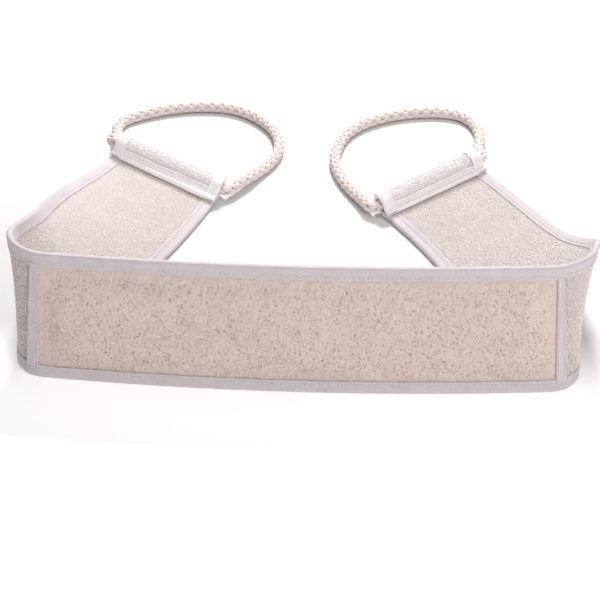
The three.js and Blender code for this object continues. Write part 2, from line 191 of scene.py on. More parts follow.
def folded(p, m):
    """Where the strip's points p, m come to once its hem is folded, as distances u and n on the strap."""
    past = p - HEM_START
    angle = np.clip(past / HEM_RADIUS, 0, HEM_TURN)
    u = HEM_START + np.minimum(past, 0) + (HEM_RADIUS + m) * np.sin(angle)
    n = (HEM_RADIUS + m) * np.cos(angle) - HEM_RADIUS
    down = np.clip(past - FOLD_ROUND, 0, FOLD_STRAIGHT)
    eased = np.clip(past - FOLD_ROUND - FOLD_STRAIGHT, 0, FOLD_EASE) / HEM_EASE_RADIUS
    bend = HEM_EASE_RADIUS - m
    u = u + down * math.cos(HEM_TURN) + bend * (math.sin(HEM_TURN) - np.sin(HEM_TURN - eased))
    n = n - down * math.sin(HEM_TURN) + bend * (math.cos(HEM_TURN) - np.cos(HEM_TURN - eased))
    return u - np.maximum(past - (STRIP_END - HEM_START) + HEM_TAIL, 0), n


def channel(side, v):
    """The middle line of the hem's channel, where the rope runs."""
    return ROUTES[side].strap(HEM_START, v, -HEM_RADIUS) * [SIGN[side], 1, 1]


# The swing hinge's point is the middle of the channel, which ties the strap's own frame to the row's.
HINGES = {joint["name"]: joint for joint in frame["joints"]}
OFFSET = np.array(HINGES["right_swing"]["pos_m"]) / MM - channel("right", 0)


def in_row(points):
    """Points of the strap's own frame in the row's frame, in metres."""
    return (np.asarray(points, float) + OFFSET) * MM


def laid(side, flat):
    """Flat points (p, v, m) of one side's strip, laid along the strap."""
    flat = np.asarray(flat, float)
    p, v, m = flat[..., 0], flat[..., 1], flat[..., 2]
    u, n = folded(p, m)
    flap = (p - HEM_START - FOLD_ROUND) / (STRIP_END - HEM_START - FOLD_ROUND)
    u = u + HEM_ASKEW[side] * smooth(flap) * (v / EDGE - 1) / 2
    return in_row(ROUTES[side].strap(u, v, n) * [SIGN[side], 1, 1])


def laid_on_front(flat):
    """Flat points whose p is negative on the left of the middle."""
    mirrored = flat * [-1, 1, 1]
    return np.where(flat[..., :1] < 0, laid("left", mirrored), laid("right", flat))


# ---------------------------------------------------------------- meshes

PLATE_CREASE = math.radians(65)


def grid_faces(rows, columns, first=0, closed=False):
    """Quads between the points of a grid. A closed grid's last column joins its first."""
    i, j = np.meshgrid(np.arange(rows - 1), np.arange(columns - (not closed)), indexing="ij")
    after = (j + 1) % columns
    quads = [i * columns + j, i * columns + after, (i + 1) * columns + after, (i + 1) * columns + j]
    return np.stack(quads, -1).reshape(-1, 4) + first


def volume(points, groups):
    """Six times the volume that the faces hold, negative where they point inwards."""
    total = 0
    for faces in groups:
        corners = points[faces]
        for k in range(1, faces.shape[1] - 1):
            total += np.einsum("ij,ij->", corners[:, 0], np.cross(corners[:, k], corners[:, k + 1]))
    return total


def make_piece(name, points, groups, material, slot, crease=math.pi, **fields):
    """A mesh object from points and groups of faces with equal corner counts. Edges bent more than the crease
    stay sharp. Fields are point attributes."""
    points = points.reshape(-1, 3)
    if volume(points - points.mean(0), groups) < 0:
        groups = [faces[:, ::-1] for faces in groups]
    mesh = bpy.data.meshes.new(name)
    mesh.vertices.add(len(points))
    mesh.vertices.foreach_set("co", points.astype(np.float32).ravel())
    corners = np.concatenate([faces.ravel() for faces in groups])
    counts = np.concatenate([np.full(len(faces), faces.shape[1]) for faces in groups])
    mesh.loops.add(len(corners))
    mesh.loops.foreach_set("vertex_index", corners.astype(np.int32))
    mesh.polygons.add(len(counts))
    mesh.polygons.foreach_set("loop_start", (np.cumsum(counts) - counts).astype(np.int32))
    mesh.update(calc_edges=True)
    mesh.validate()
    mesh.shade_smooth()
    mesh.set_sharp_from_angle(angle=crease)
    for field, values in fields.items():
        values = np.asarray(values, np.float32)
        kind, key = ("FLOAT", "value") if values.ndim == 1 else ("FLOAT_VECTOR", "vector")
        mesh.attributes.new(field, kind, "POINT").data.foreach_set(key, values.ravel())
    mesh.materials.append(material)
    piece = bpy.data.objects.new(name, mesh)
    bpy.context.scene.collection.objects.link(piece)
    return piece


def plate(outer, inner):
    """Points and faces of a closed plate between two grids of the same size."""
    rows, columns = outer.shape[:2]
    points = np.concatenate([outer.reshape(-1, 3), inner.reshape(-1, 3)])
    index = np.arange(rows * columns).reshape(rows, columns)
    rim = np.concatenate([index[0, :-1], index[:-1, -1], index[-1, :0:-1], index[:0:-1, 0]])
    after = np.roll(rim, -1)
    wall = np.stack([rim, rim + rows * columns, after + rows * columns, after], -1)
    return points, [grid_faces(rows, columns), grid_faces(rows, columns, rows * columns)[:, ::-1], wall]


def tubes(centres, sideways, upwards, sides):
    """Points and faces of closed tubes. Centres are (tube, ring, 3), and the other two are its radii."""
    angle = 2 * math.pi * np.arange(sides) / sides
    ring = sideways[..., None, :] * np.cos(angle)[:, None] + upwards[..., None, :] * np.sin(angle)[:, None]
    points = centres[..., None, :] + ring
    count, rings = centres.shape[:2]
    first = np.arange(count)[:, None, None] * rings * sides
    walls = (grid_faces(rings, sides, closed=True)[None] + first).reshape(-1, 4)
    start = first[:, 0] + np.arange(sides)[::-1]
    end = first[:, 0] + (rings - 1) * sides + np.arange(sides)
    return points.reshape(-1, 3), [walls, start, end]


def worms(place, p, v, m, radius, sides=4):
    """Tubes that lie on the cloth: flat paths p, v, m of shape (tube, ring), laid by place."""
    along = np.stack([np.gradient(p, axis=1), np.gradient(v, axis=1)], -1)
    along /= np.maximum(np.linalg.norm(along, axis=-1, keepdims=True), 1e-9)
    sideways = np.stack([-along[..., 1], along[..., 0], np.zeros_like(p)], -1) * radius[..., None]
    upwards = np.zeros_like(sideways)
    upwards[..., 2] = radius
    flat, groups = tubes(np.stack([p, v, m], -1), sideways, upwards, sides)
    return place(flat), groups, flat


# ---------------------------------------------------------------- materials


class Nodes:
    """A material's node tree, with short ways to add what the cloth materials share."""

    def __init__(self, name, roughness, sheen):
        self.material = bpy.data.materials.new(name)
        self.material.use_nodes = True
        self.tree = self.material.node_tree
        self.shader = self.tree.nodes["Principled BSDF"]
        self.shader.inputs["Roughness"].default_value = roughness
        self.shader.inputs["Sheen Weight"].default_value = sheen
        self.shader.inputs["Sheen Roughness"].default_value = 0.6
        self.shader.inputs["Specular IOR Level"].default_value = 0.15

    def add(self, kind, **settings):
        node = self.tree.nodes.new(kind)
        for key, value in settings.items():
            if key in node.inputs:
                node.inputs[key].default_value = value
            else:
                setattr(node, key, value)
        return node

    def link(self, source, target):
        self.tree.links.new(source, target)

    def field(self, name, output="Fac"):
        return self.add("ShaderNodeAttribute", attribute_name=name).outputs[output]

    def place(self):
        """Coordinates in metres that stay with the piece."""
        return self.add("ShaderNodeTexCoord").outputs["Object"]

    def noise(self, vector, scale, detail=2.0, roughness=0.5):
        node = self.add("ShaderNodeTexNoise", Scale=scale, Detail=detail, Roughness=roughness)
        self.link(vector, node.inputs["Vector"])
        return node.outputs["Fac"]

    def ramp(self, value, *stops):
        node = self.add("ShaderNodeValToRGB")
        elements = node.color_ramp.elements
        for element, (position, colour) in zip(elements, stops[:2]):
            element.position, element.color = position, (*colour, 1)
        for position, colour in stops[2:]:
            elements.new(position).color = (*colour, 1)
        self.link(value, node.inputs["Fac"])
        return node.outputs["Color"]

    def mix(self, factor, first, second, blend="MIX"):
        node = self.add("ShaderNodeMix", data_type="RGBA", blend_type=blend)
        wanted = {"Factor": factor, 6: first, 7: second}
        for key, value in wanted.items():
            socket = node.inputs[key]
            if isinstance(value, bpy.types.NodeSocket):
                self.link(value, socket)
            else:
                socket.default_value = value
        return node.outputs[2]

    def math(self, operation, *values):
        node = self.add("ShaderNodeMath", operation=operation)
        for socket, value in zip(node.inputs, values):
            if isinstance(value, bpy.types.NodeSocket):
                self.link(value, socket)
            else:
                socket.default_value = value
        return node.outputs[0]

    def finish(self, colour, height=None, distance=0.0001, strength=0.6):
        self.link(colour, self.shader.inputs["Base Color"])
        if height is not None:
            bump = self.add("ShaderNodeBump", Strength=strength, Distance=distance)
            self.link(height, bump.inputs["Height"])
            self.link(bump.outputs["Normal"], self.shader.inputs["Normal"])
        return self.material


def terry_material():
    """Undyed cotton: cream tops, painted shade of a warmer, darker cream down between the loops, and painted
    light that turns it nearly white over the hems.
    """
    nodes = Nodes("cotton terry", 0.95, 0.4)
    place = nodes.place()
    tone = nodes.noise(place, 55, 3)
    tops = nodes.ramp(tone, (0.3, (0.86, 0.785, 0.76)), (0.7, (0.89, 0.82, 0.80)))
    # Painted shade: a darker, warmer cream low down between the loops.
    loops = nodes.mix(nodes.field("pile"), (0.85, 0.76, 0.725, 1), tops)
    # Painted light: nearly white over the hems.
    colour = nodes.mix(nodes.field("pale"), loops, (0.97, 0.93, 0.925, 1))
    fuzz = nodes.noise(place, 2600, 3, 0.7)
    return nodes.finish(colour, fuzz, 0.0002)


def tape_material():
    """Fine woven tape with ribs across it, lilac along the strap, with painted light that turns it nearly
    white round its hems.
    """
    nodes = Nodes("cotton tape", 0.85, 0.05)
    flat = nodes.add("ShaderNodeSeparateXYZ")
    nodes.link(nodes.field("flat", "Vector"), flat.inputs[0])
    warp = nodes.math("SINE", nodes.math("MULTIPLY", flat.outputs[0], 2 * math.pi / 0.7))
    weft = nodes.math("SINE", nodes.math("MULTIPLY", flat.outputs[1], 2 * math.pi / 0.55))
    weave = nodes.math("MULTIPLY", warp, weft)
    place = nodes.place()
    height = nodes.math("ADD", nodes.math("MULTIPLY", weave, 0.5), nodes.noise(place, 900, 3))
    tone = nodes.noise(place, 90, 3)
    lilac = nodes.ramp(tone, (0.3, (0.655, 0.595, 0.62)), (0.7, (0.705, 0.645, 0.67)))
    # Painted light: nearly white round the hems.
    colour = nodes.mix(nodes.field("pale"), lilac, (0.97, 0.945, 0.95, 1))
    return nodes.finish(colour, height, 0.00012)


def thread_material():
    nodes = Nodes("sewing thread", 0.7, 0.05)
    place = nodes.place()
    tone = nodes.noise(place, 700, 2)
    colour = nodes.ramp(tone, (0.3, (0.76, 0.71, 0.73)), (0.7, (0.84, 0.79, 0.81)))
    return nodes.finish(colour, nodes.noise(place, 5000, 2), 0.00008)


def rope_material():
    """Braided cotton yarn: fine fibres along each strand, and painted shade, a warmer and darker tone, where
    strands dive under.
    """
    nodes = Nodes("cotton rope", 0.95, 0.1)
    place = nodes.place()
    tone = nodes.noise(place, 120, 3)
    tops = nodes.ramp(tone, (0.3, (0.80, 0.70, 0.675)), (0.7, (0.86, 0.77, 0.745)))
    # Painted shade where a strand dives under the others.
    colour = nodes.mix(nodes.field("over"), (0.74, 0.62, 0.585, 1), tops)
    yarn = nodes.add("ShaderNodeSeparateXYZ")
    nodes.link(nodes.field("yarn", "Vector"), yarn.inputs[0])
    plies = nodes.math("SINE", nodes.math("ADD", yarn.outputs[0], yarn.outputs[1]))
    height = nodes.math("ADD", nodes.math("MULTIPLY", plies, 0.5), nodes.noise(place, 2500, 3))
    return nodes.finish(colour, height, 0.00022)


def loofah_material():
    """Straw-coloured fibre: painted shade darkens it down in the pits, and it is lighter on the loose fibres.
    """
    nodes = Nodes("pressed loofah", 0.9, 0.1)
    place = nodes.place()
    tone = nodes.noise(place, 45, 4)
    patches = nodes.ramp(tone, (0.3, (0.77, 0.65, 0.59)), (0.7, (0.82, 0.71, 0.655)))
    fibres = nodes.noise(place, 1400, 3, 0.6)
    streaks = nodes.ramp(fibres, (0.35, (0.90, 0.88, 0.86)), (0.65, (1, 1, 1)))
    surface = nodes.mix(1.0, patches, streaks, "MULTIPLY")
    pile = nodes.field("pile")
    # Painted shade: the deeper down a pit, the darker the colour.
    sunk = nodes.mix(pile, (0.56, 0.42, 0.35, 1), surface)
    colour = nodes.mix(nodes.math("SUBTRACT", pile, 1), sunk, (0.90, 0.785, 0.745, 1))
    return nodes.finish(colour, fibres, 0.0003)


GLOW_FRONT, GLOW_BACK = -0.20, -0.13  # the table glows in front of the strap, and fades out behind
GLOW = 0.45


def floor_material():
    """A white table, lit from below in front, so that the strap's own soft shadow doesn't darken it."""
    nodes = Nodes("white table", 0.6, 0)
    place = nodes.place()
    depth = nodes.add("ShaderNodeSeparateXYZ")
    nodes.link(place, depth.inputs[0])
    glow = nodes.math("DIVIDE", nodes.math("SUBTRACT", depth.outputs[1], GLOW_BACK), GLOW_FRONT - GLOW_BACK)
    light = nodes.ramp(glow, (0, (0, 0, 0)), (1, (GLOW, GLOW, GLOW)))
    nodes.link(light, nodes.shader.inputs["Emission Color"])
    nodes.shader.inputs["Emission Strength"].default_value = 1
    tone = nodes.noise(place, 3, 1)
    return nodes.finish(nodes.ramp(tone, (0.3, (0.79, 0.79, 0.79)), (0.7, (0.81, 0.81, 0.81))))


TERRY = terry_material()
TAPE = tape_material()
THREAD = thread_material()
ROPE = rope_material()
LOOFAH = loofah_material()

# ---------------------------------------------------------------- camera, lights and table

VIEW_AZIMUTH, VIEW_ELEVATION, VIEW_DISTANCE = math.radians(3.03), math.radians(31.5), 1.344
VIEW_TARGET = Vector((-0.0019, -0.1736, 0.050))
SENSOR, LENS = 36, 120.7


def add_camera():
    a, e = VIEW_AZIMUTH, VIEW_ELEVATION
    back = Vector((math.sin(a) * math.cos(e), -math.cos(a) * math.cos(e), math.sin(e)))
    data = bpy.data.cameras.new("camera")
    data.sensor_width, data.lens = SENSOR, LENS
    camera = bpy.data.objects.new("camera", data)
    camera.location = VIEW_TARGET + back * VIEW_DISTANCE
    camera.rotation_euler = back.to_track_quat("Z", "Y").to_euler()
    bpy.context.scene.collection.objects.link(camera)
    bpy.context.scene.camera = camera


def add_softbox(name, place, size, power, colour):
    """A square lamp that points at the middle of the object."""
    data = bpy.data.lights.new(name, "AREA")
    data.size, data.energy, data.color = size, power, colour
    lamp = bpy.data.objects.new(name, data)
    lamp.location = place
    lamp.rotation_euler = (lamp.location - Vector((0, 0, 0.03))).to_track_quat("Z", "Y").to_euler()
    bpy.context.scene.collection.objects.link(lamp)


def add_lights():
    world = bpy.data.worlds.new("studio")
    world.use_nodes = True
    background = world.node_tree.nodes["Background"]
    background.inputs["Color"].default_value = (1, 0.985, 0.985, 1)
    background.inputs["Strength"].default_value = 0.15
    bpy.context.scene.world = world
    bpy.context.scene.view_settings.view_transform = "Standard"
    add_softbox("key behind", (0.05, 1.2, 1.4), 0.35, 34, (1, 0.985, 0.975))
    add_softbox("overhead", (0, -0.1, 1.6), 1.6, 9, (1, 0.985, 0.98))
    add_softbox("fill in front", (0.8, -1.2, 0.95), 1.0, 10, (1, 0.975, 0.97))


TABLE_HALF = 4


def add_table():
    corners = np.array([[-1, -1, 0], [1, -1, 0], [1, 1, 0], [-1, 1, 0]]) * TABLE_HALF
    mesh = bpy.data.meshes.new("table")
    mesh.from_pydata(corners.tolist(), [], [[0, 1, 2, 3]])
    mesh.materials.append(floor_material())
    table = bpy.data.objects.new("table", mesh)
    bpy.context.scene.collection.objects.link(table)


# ---------------------------------------------------------------- rope handles

ROPE_MEET = 16.5  # the rope's loop ends this far from the middle of the channel, in its whipping
BRAID_STRANDS = 4  # each way round
BRAID_PITCH = 36  # along the rope, for one turn of a strand
BRAID_STEP = 0.7
STRAND_RADIUS, STRAND_WIDTH, STRAND_HEIGHT = 3.2, 2, 0.95
STRAND_DIVE = 0.38
STRAND_SIDES = 8
YARN_PLIES = 3  # round a strand
YARN_TWIST = 3.5  # radians along it, in a millimetre
WHIPPING_HALF, WHIPPING_TURNS, WHIPPING_STEPS = 9, 24, 24  # steps in one turn of the thread
WHIPPING_THREAD = 0.3  # its radius


def centripetal(points, samples):
    """A centripetal Catmull-Rom curve through the points."""
    points = np.asarray(points, float)
    ends = 2 * points[[0, -1]] - points[[1, -2]]
    points = np.vstack([ends[:1], points, ends[1:]])
    t = np.linspace(0, 1, samples, endpoint=False)[:, None]
    pieces = []
    for i in range(1, len(points) - 2):
        p0, p1, p2, p3 = points[i - 1 : i + 3]
        d1, d2, d3 = (math.sqrt(np.linalg.norm(b - a)) for a, b in ((p0, p1), (p1, p2), (p2, p3)))
        m1 = (p1 - p0) / d1 - (p2 - p0) / (d1 + d2) + (p2 - p1) / d2
        m2 = (p2 - p1) / d2 - (p3 - p1) / (d2 + d3) + (p3 - p2) / d3
        m1, m2 = m1 * d2, m2 * d2
        a = 2 * p1 - 2 * p2 + m1 + m2
        b = 3 * p2 - 3 * p1 - 2 * m1 - m2
        pieces.append(p1 + m1 * t + b * t**2 + a * t**3)
    return np.vstack([*pieces, points[-2:-1]])


def evenly(points, step):
    """The same line with points a step apart."""
    lengths = np.concatenate([[0], np.cumsum(np.linalg.norm(np.diff(points, axis=0), axis=1))])
    at = np.linspace(0, lengths[-1], max(2, round(lengths[-1] / step) + 1))
    return np.stack([np.interp(at, lengths, points[:, k]) for k in range(3)], -1), at


def frames_along(line):
    """Two unit vectors across a line at each of its points, which turn as little as they can."""
    tangent = np.gradient(line, axis=0)
    tangent /= np.linalg.norm(tangent, axis=1, keepdims=True)
    across = np.cross(tangent[0], [0, 0, 1])
    first = []
    for direction in tangent:
        across = across - direction * (across @ direction)
        across = across / np.linalg.norm(across)
        first.append(across)
    first = np.array(first)
    return first, np.cross(tangent, first)


def rope_line(side):
    stops = np.array([ROPE_MEET, 30, EDGE - ROPE_RADIUS, EDGE - GAP])
    lower = [channel(side, -v) for v in stops]
    upper = [channel(side, v) for v in stops[::-1]]
    line = centripetal(np.vstack([lower, ROPE_LOOPS[side], upper]), 12)
    return evenly(line, BRAID_STEP)


def braid(line, along):
    """Strands that wind both ways round a line, each passing over one of the other way, then under one."""
    across, up = frames_along(line)
    centres, sideways, upwards, over, yarn = [], [], [], [], []
    for way in (1, -1):
        for strand in range(BRAID_STRANDS):
            turn = along / BRAID_PITCH * 2 * math.pi
            angle = way * turn + 2 * math.pi * strand / BRAID_STRANDS
            weave = way * np.cos(BRAID_STRANDS * turn)
            radius = STRAND_RADIUS + STRAND_DIVE * weave
            outward = across * np.cos(angle)[:, None] + up * np.sin(angle)[:, None]
            centre = line + outward * radius[:, None]
            tangent = np.gradient(centre, axis=0)
            tangent /= np.linalg.norm(tangent, axis=1, keepdims=True)
            aside = np.cross(tangent, outward)
            centres.append(centre)
            sideways.append(aside * STRAND_WIDTH)
            upwards.append(outward * STRAND_HEIGHT)
            # How far a strand is over the others, which sets the painted shade where it dives under.
            over.append(smooth(0.5 + 0.6 * weave))
            yarn.append(along * YARN_TWIST)
    return tuple(np.array(a) for a in (centres, sideways, upwards, over, yarn))


def rope_handle(side):
    """The braided rope, and the line along its middle."""
    line, along = rope_line(side)
    centres, sideways, upwards, over, yarn = braid(line, along)
    points, groups = tubes(centres, sideways, upwards, STRAND_SIDES)
    around = np.tile(2 * math.pi * np.arange(STRAND_SIDES) / STRAND_SIDES * YARN_PLIES, over.size)
    twist = np.stack([np.repeat(yarn.ravel(), STRAND_SIDES), around, 0 * around], -1)
    fields = {"over": np.repeat(over.ravel(), STRAND_SIDES), "yarn": twist}
    piece = make_piece(f"{side}_rope_handle", in_row(points), groups, ROPE, "rope", **fields)
    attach(piece, f"{side}_handle")
    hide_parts(f"{side}_rope_handle")
    return piece, in_row(line)


def wound_thread(side):
    """One thread wound round the middle of the channel, as points and faces."""
    at = np.linspace(-WHIPPING_HALF, WHIPPING_HALF, WHIPPING_TURNS * WHIPPING_STEPS)
    line = np.array([channel(side, v) for v in at])
    across, up = frames_along(line)
    angle = np.arange(len(at)) / WHIPPING_STEPS * 2 * math.pi
    outward = across * np.cos(angle)[:, None] + up * np.sin(angle)[:, None]
    axis = line[-1] - line[0]
    axis /= np.linalg.norm(axis)
    centre = line + outward * (WHIPPING_RADIUS - WHIPPING_THREAD)
    along = (0 * line + axis)[None] * WHIPPING_THREAD
    return tubes(centre[None], along, outward[None] * WHIPPING_THREAD, 5)


def rope_core(side):
    """The plain stretch of rope between the two ends of the braid, as points and faces."""
    reach = ROPE_MEET - GAP
    line = np.array([channel(side, v) for v in np.linspace(-reach, reach, 12)])
    across, up = frames_along(line)
    return tubes(line[None], across[None] * ROPE_RADIUS, up[None] * ROPE_RADIUS, 16)


def rope_whipping(side):
    """Thread wound round the rope's two ends, where they meet inside the hem."""
    wound, core = wound_thread(side), rope_core(side)
    points = np.vstack([wound[0], core[0]])
    groups = [*wound[1], *(faces + len(wound[0]) for faces in core[1])]
    piece = make_piece(f"{side}_rope_whipping", in_row(points), groups, THREAD, "thread")
    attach(piece, f"{side}_handle")
    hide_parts(f"{side}_rope_whipping")
    return piece


def handles():
    for side in SIDES:
        rope, path = rope_handle(side)
        whipping = rope_whipping(side)
        in_row(channel(side, -EDGE))
        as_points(path[::3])


# ---------------------------------------------------------------- cloth

BLEND_FROM = CROSS_TO + 1


def bend_at_corner(piece, side, *nodes):
    """Bakes the piece's place into its points and hides the CAD's parts that it stands for."""
    route = ROUTES[side]
    start = laid(side, [BLEND_FROM, 0, 0])
    end = laid(side, [route.corner_end + FRONT_HALF - BLEND_FROM, 0, 0])
    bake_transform(piece)
    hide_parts(*nodes)


def steps_between(start, end, step):
    return np.linspace(start, end, max(2, round((end - start) / step) + 1))


def flat_grid(p, v, m):
    """A grid of flat points. m is one number or a value at each point."""
    pp, vv = np.meshgrid(p, v, indexing="ij")
    return np.stack([pp, vv, np.broadcast_to(m, pp.shape)], -1)


GROUND = 0.8  # half the thickness of the terry under its loops
PAINTED_GROUND_SHADE = 0.6  # painted shade on the ground sheet, a level between the darkest at the loops' feet and none at their tops
PAINTED_LIGHT_TERRY_REACH, PAINTED_LIGHT_TAPE_REACH = 6, 16  # how far before a hem's fold the painted light that turns the cloth nearly white begins


def near_hem(p, reach):
    """0 along the strap, rising to 1 over the reach before a hem's fold."""
    return smooth((p - HEM_START + reach) / reach)


def terry_ground(side):
    """The woven sheet that the loops stand on."""
    p = steps_between(0, STRIP_END, 2.5)
    v = steps_between(-TERRY_EDGE, TERRY_EDGE, 3)
    outer, inner = flat_grid(p, v, GROUND), flat_grid(p, v, -GROUND)
    flat, groups = plate(outer, inner)
    # Painted shade gives the ground sheet the darker cream of the loops' feet, and painted light whitens it
    # near the hems.
    fields = {"pile": np.full(len(flat), PAINTED_GROUND_SHADE), "pale": near_hem(flat[:, 0], PAINTED_LIGHT_TERRY_REACH)}
    piece = make_piece(f"terry_{side}", laid(side, flat), groups, TERRY, "terry", PLATE_CREASE, **fields)
    bend_at_corner(piece, side, f"terry_backing_{side}", "terry_backing_centre")
    return piece


LOOP_SPACING = 1.4
LOOP_LENGTH, LOOP_HEIGHT, LOOP_RADIUS = 2.2, 0.65, 0.46
LOOP_NAP = math.radians(60)  # the way that most loops lie
LOOP_STRAY = 0.9  # how widely their ways differ, in radians
PRESSED_REACH, PRESSED_SHARE = 4, 0.55  # the loops are pressed down round a hem
SCATTER_SLANT, SCATTER_SHIFT = math.radians(35), 0.28


def scattered(rng, from_p, to_p, half_v, spacing):
    """Points on a slanted grid, each moved a little at random."""
    reach = np.arange(-(to_p - from_p), (to_p - from_p) + 2 * half_v, spacing)
    a, b = np.meshgrid(reach, reach)
    cosine, sine = math.cos(SCATTER_SLANT), math.sin(SCATTER_SLANT)
    p = (a * cosine - b * sine).ravel() + (from_p + to_p) / 2
    v = (a * sine + b * cosine).ravel()
    p = p + rng.normal(0, SCATTER_SHIFT * spacing, p.size)
    v = v + rng.normal(0, SCATTER_SHIFT * spacing, v.size)
    keep = (p > from_p) & (p < to_p) & (np.abs(v) < half_v)
    return p[keep], v[keep]


def loops_on_face(rng, face, from_p, to_p):
    """Flat paths of the loops on one face of the terry, 1 for its outer face and -1 for its inner."""
    p, v = scattered(rng, from_p, to_p, INSIDE + 0.4, LOOP_SPACING)
    count = (len(p), 1)
    angle = LOOP_NAP + rng.normal(0, LOOP_STRAY, count)
    length = LOOP_LENGTH * rng.uniform(0.75, 1.25, count)
    height = LOOP_HEIGHT * rng.uniform(0.65, 1.2, count)
    along = np.array([-0.5, -0.2, 0.22, 0.5]) * length
    rise = np.array([-0.25, 0.75, 0.95, 0.05]) * height
    radius = np.array([0.8, 1, 1, 0.7]) * LOOP_RADIUS * rng.uniform(0.85, 1.15, count)
    path_p = p[:, None] + along * np.cos(angle)
    path_v = v[:, None] + along * np.sin(angle)
    lower = np.minimum(GROUND + rise, LOOFAH_MARGIN) if face > 0 else GROUND + rise
    hem = near_hem(path_p, PRESSED_REACH)
    path_m = face * (lower * (1 - hem) + (GROUND + PRESSED_SHARE * rise) * hem)
    return path_p, path_v, path_m, radius


def terry_pile(side):
    """One half's loops: outside from the cross tape to the hem tape, and inside all along."""
    rng = np.random.default_rng(11 + SIDES.index(side))
    flap_end = folded(np.array(STRIP_END), np.array(0.0))[0]
    outer = loops_on_face(rng, 1, CROSS_TO + 1, STRIP_END - HEM_TAPE_FACE - 0.4)
    inner = loops_on_face(rng, -1, 0, flap_end + 1.5)
    p, v, m, radius = (np.vstack(pair) for pair in zip(outer, inner))
    points, groups, flat = worms(partial(laid, side), p, v, m, radius)
    # Painted shade: the lower down a loop, the darker its cream.
    height = smooth((np.abs(flat[:, 2]) - GROUND + 0.1) / 0.8)
    # Painted light turns the loops nearly white near the hem.
    pale = near_hem(flat[:, 0], PAINTED_LIGHT_TERRY_REACH)
    piece = make_piece(f"terry_pile_{side}", points, groups, TERRY, "terry", pile=height, pale=pale)
    bend_at_corner(piece, side, f"terry_backing_{side}", "terry_backing_centre")
    return piece


# ---------------------------------------------------------------- tapes


def over_loofah(m, p):
    """Where the loofah is under it, a tape's outer side stands further out."""
    past = smooth((p - LOOFAH_HALF - 1) / LOOFAH_STEP_DOWN)
    return np.where(m > 0, m + (LOOFAH_MARGIN + GAP - LOOFAH_BACK) * (1 - past), m)


STITCH_LENGTH, STITCH_GAP, STITCH_RADIUS = 2.6, 0.5, 0.34
STITCH_PULL, PULL_WIDTH = 0.42, 0.8  # how deep a line of stitches pulls a tape in, and how widely
LIP_HEIGHT, LIP_AWAY = 0.2, 1.7  # the tape's edge stands up a little beside the line
TAPE_SOFT = 1.5  # radius of a tape's bend round the strap's edge
LEG_POINTS = 16
TAPE_END_STEPS, TAPE_END = (0.5, 0.9, 1.1), 1.15  # where a tape's raw end rounds off
EASE, EASE_LENGTH, EASE_REACH = 0.12, 7.3, 2.5  # the slight waver of a tape's inner edge
UNDER_BINDING = 1.5  # how far the other tapes run in under the bindings


def stitch_dip(p, v, line):
    """How far the stitches pull a tape's surface in, at p along the line and v across it."""
    across = np.exp(-(((v - line) / PULL_WIDTH) ** 2))
    along = 0.65 + 0.35 * np.cos(2 * math.pi * p / (STITCH_LENGTH + STITCH_GAP))
    lip = LIP_HEIGHT * np.exp(-(((v - line + LIP_AWAY) / PULL_WIDTH) ** 2))
    return STITCH_PULL * across * along - lip


def binding_section():
    """The middle of a binding's tape, as v and m, from one edge of it round the strap's edge to the other."""
    level = LAYER - TAPE_THICK / 2
    leg = np.linspace(INSIDE, EDGE - TAPE_SOFT, LEG_POINTS)
    bend = np.linspace(0, math.pi / 2, 5)[1:]
    corner_v = EDGE - TAPE_THICK / 2 - TAPE_SOFT + TAPE_SOFT * np.sin(bend)
    corner_m = level - TAPE_SOFT + TAPE_SOFT * np.cos(bend)
    straight = np.full(LEG_POINTS, level)
    v = np.concatenate([leg, corner_v, corner_v[::-1], leg[::-1]])
    m = np.concatenate([straight, corner_m, -corner_m[::-1], -straight])
    return v, m


def half_thickness(first, second):
    """Half a tape's thickness, square to its section's middle line, whose two coordinates are given apart."""
    tangent = np.stack([np.gradient(first), np.gradient(second)], -1)
    tangent /= np.linalg.norm(tangent, axis=1, keepdims=True)
    return np.stack([-tangent[:, 1], tangent[:, 0]], -1) * TAPE_THICK / 2


def binding(name, up, side):
    """The tape over the top (1) or bottom (-1) edge of one half of the strap, pulled in by its stitches."""
    v, m = binding_section()
    out = half_thickness(v, m)
    p = steps_between(0, STRIP_END, (STITCH_LENGTH + STITCH_GAP) / 2)
    p = np.concatenate([p, STRIP_END + np.array(TAPE_END_STEPS)])[:, None]
    closing = np.sqrt(1 - np.clip((p - STRIP_END) / TAPE_END, 0, 1) ** 2)
    line = EDGE - TAPE_FACE + TAPE_STITCH
    ease = EASE * np.sin(p / EASE_LENGTH + up) * np.exp(-((v - INSIDE) / EASE_REACH) ** 2)
    layers = []
    for way in (1, -1):
        layer_v = v + way * out[:, 0]
        layer_m = over_loofah(m + way * out[:, 1] + 0 * p, p)
        dip = stitch_dip(p, layer_v, line) * np.sign(layer_m)
        grid_v = up * (layer_v + ease)
        layers.append(np.stack([p + 0 * grid_v, grid_v, (layer_m - dip) * closing], -1))
    flat, groups = plate(*layers)
    # Painted light turns the binding nearly white near the hem.
    fields = {"flat": flat, "pale": near_hem(flat[:, 0], PAINTED_LIGHT_TAPE_REACH)}
    points = laid(side, flat)
    piece = make_piece(f"{name}_binding_{side}", points, groups, TAPE, "tape", PLATE_CREASE, **fields)
    bend_at_corner(piece, side, f"{name}_binding_{side}", f"{name}_binding_centre")
    return piece


